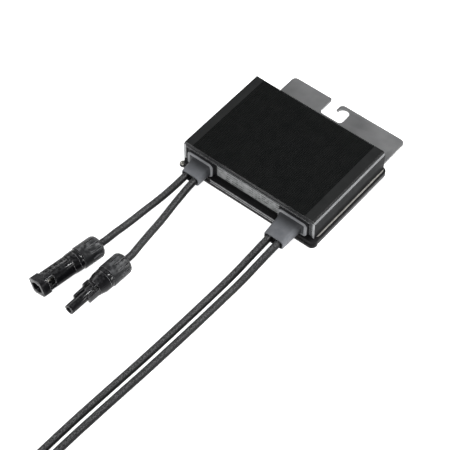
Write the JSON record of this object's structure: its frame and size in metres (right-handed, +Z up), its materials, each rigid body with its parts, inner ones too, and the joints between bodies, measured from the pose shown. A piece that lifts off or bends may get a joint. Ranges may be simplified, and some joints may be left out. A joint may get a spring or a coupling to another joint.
{
  "type": "solar module power optimizer",
  "caption": "Flat ribbed DC power converter for a solar module on a hook bracket, with short input leads and long output leads ending in locking connectors.",
  "frame": {"origin": "centre of the ribbed housing's footprint, on the bracket's underside", "axes": "+Z up out of the flat base, +Y towards the bracket's hook, leads leave towards -Y, +X towards the output leads' side"},
  "size_m": [0.2003, 0.5408, 0.0275],
  "materials": {
    "black_anodised": "black anodised, satin",
    "black_base": "black, satin",
    "bracket_steel": "galvanised, satin",
    "black_panel": "matte",
    "light_seal": "matte",
    "dark_gasket": "matte",
    "bare_aluminium": "satin",
    "label_silver": "satin foil, blank",
    "screw_steel": "plated",
    "boot_rubber": "matte",
    "board_green": "solder mask",
    "brass_standoff": "plain",
    "potting": "cast",
    "ferrite": "sintered",
    "copper_wire": "enamelled",
    "capacitor_grey": "moulded",
    "capacitor_can": "can",
    "chip_black": "moulded",
    "transformer_tape": "tape wrapped",
    "thermal_pad": "soft sheet",
    "tinned_metal": "tinned",
    "lead_jacket": "satin jacket",
    "tie_nylon": "nylon",
    "connector_black": "gloss",
    "nut_black": "satin",
    "collet_nylon": "nylon",
    "seal_grey": "soft",
    "contact_tin": "tin plated copper",
    "o_ring_black": "soft"
  },
  "bodies": {
    "housing": {"heatsink_cover": "black_anodised", "base_tray": "black_base", "mounting_bracket": "bracket_steel", "front_panel": "black_panel", "rear_panel": "black_panel", "perimeter_seal": "light_seal", "front_gasket": "dark_gasket", "front_rail": "bare_aluminium", "label_plate": "label_silver", "bracket_screws": "screw_steel", "rear_screws": "screw_steel", "ground_screw": "screw_steel", "input_boot": "boot_rubber", "output_boot": "boot_rubber", "circuit_board": "board_green", "board_standoffs": "brass_standoff", "board_screws": "screw_steel", "potting_layer": "potting", "inductor_core": "ferrite", "inductor_winding": "copper_wire", "input_capacitors": "capacitor_grey", "output_capacitors": "capacitor_can", "power_transistors": "chip_black", "controller_chip": "chip_black", "comm_transformer": "transformer_tape", "thermal_pad": "thermal_pad", "input_terminals": "tinned_metal", "output_terminals": "tinned_metal", "input_lead_a": "lead_jacket", "input_lead_b": "lead_jacket", "output_lead_a": "lead_jacket", "output_lead_b": "lead_jacket", "output_coil_a": "lead_jacket", "output_coil_b": "lead_jacket", "coil_ties": "tie_nylon", "input_a_body": "connector_black", "input_a_seal": "seal_grey", "input_a_pin": "contact_tin", "input_b_body": "connector_black", "input_b_seal": "seal_grey", "input_b_socket": "contact_tin", "input_b_o_ring": "o_ring_black", "output_a_body": "connector_black", "output_a_seal": "seal_grey", "output_a_socket": "contact_tin", "output_a_o_ring": "o_ring_black", "output_b_body": "connector_black", "output_b_seal": "seal_grey", "output_b_pin": "contact_tin"},
    "input_a_nut_turns": {"input_a_nut": "nut_black"},
    "input_a_collet_slides": {"input_a_collet": "collet_nylon"},
    "input_b_nut_turns": {"input_b_nut": "nut_black"},
    "input_b_collet_slides": {"input_b_collet": "collet_nylon"},
    "output_a_nut_turns": {"output_a_nut": "nut_black"},
    "output_a_collet_slides": {"output_a_collet": "collet_nylon"},
    "output_b_nut_turns": {"output_b_nut": "nut_black"},
    "output_b_collet_slides": {"output_b_collet": "collet_nylon"}
  },
  "joints": [
    {"name": "input_a_collet_slide", "type": "slide", "parent": "housing", "child": "input_a_collet_slides", "axis": [0.1495, 0.9888, 0], "range_m": [0, 0.0045]},
    {"name": "input_a_nut_turn", "type": "hinge", "parent": "input_a_collet_slides", "child": "input_a_nut_turns", "pos_m": [-0.06014, -0.16568, 0.0096], "axis": [0.1495, 0.9888, 0], "range_deg": [0, 1080]},
    {"name": "input_b_collet_slide", "type": "slide", "parent": "housing", "child": "input_b_collet_slides", "axis": [0.0349, 0.9994, 0], "range_m": [0, 0.0045]},
    {"name": "input_b_nut_turn", "type": "hinge", "parent": "input_b_collet_slides", "child": "input_b_nut_turns", "pos_m": [-0.03328, -0.16499, 0.0096], "axis": [0.0349, 0.9994, 0], "range_deg": [0, 1080]},
    {"name": "output_a_collet_slide", "type": "slide", "parent": "housing", "child": "output_a_collet_slides", "axis": [0, -1, 0], "range_m": [0, 0.0045]},
    {"name": "output_a_nut_turn", "type": "hinge", "parent": "output_a_collet_slides", "child": "output_a_nut_turns", "pos_m": [-0.0485, -0.369, 0.0096], "axis": [0, -1, 0], "range_deg": [0, 1080]},
    {"name": "output_b_collet_slide", "type": "slide", "parent": "housing", "child": "output_b_collet_slides", "axis": [0, -1, 0], "range_m": [0, 0.0045]},
    {"name": "output_b_nut_turn", "type": "hinge", "parent": "output_b_collet_slides", "child": "output_b_nut_turns", "pos_m": [0.114, -0.369, 0.0096], "axis": [0, -1, 0], "range_deg": [0, 1080]}
  ],
  "couplings": [
    {"joint": "input_a_collet_slide", "follows": "input_a_nut_turn", "m_per_rad": 0.00023873},
    {"joint": "input_b_collet_slide", "follows": "input_b_nut_turn", "m_per_rad": 0.00023873},
    {"joint": "output_a_collet_slide", "follows": "output_a_nut_turn", "m_per_rad": 0.00023873},
    {"joint": "output_b_collet_slide", "follows": "output_b_nut_turn", "m_per_rad": 0.00023873}
  ]
}
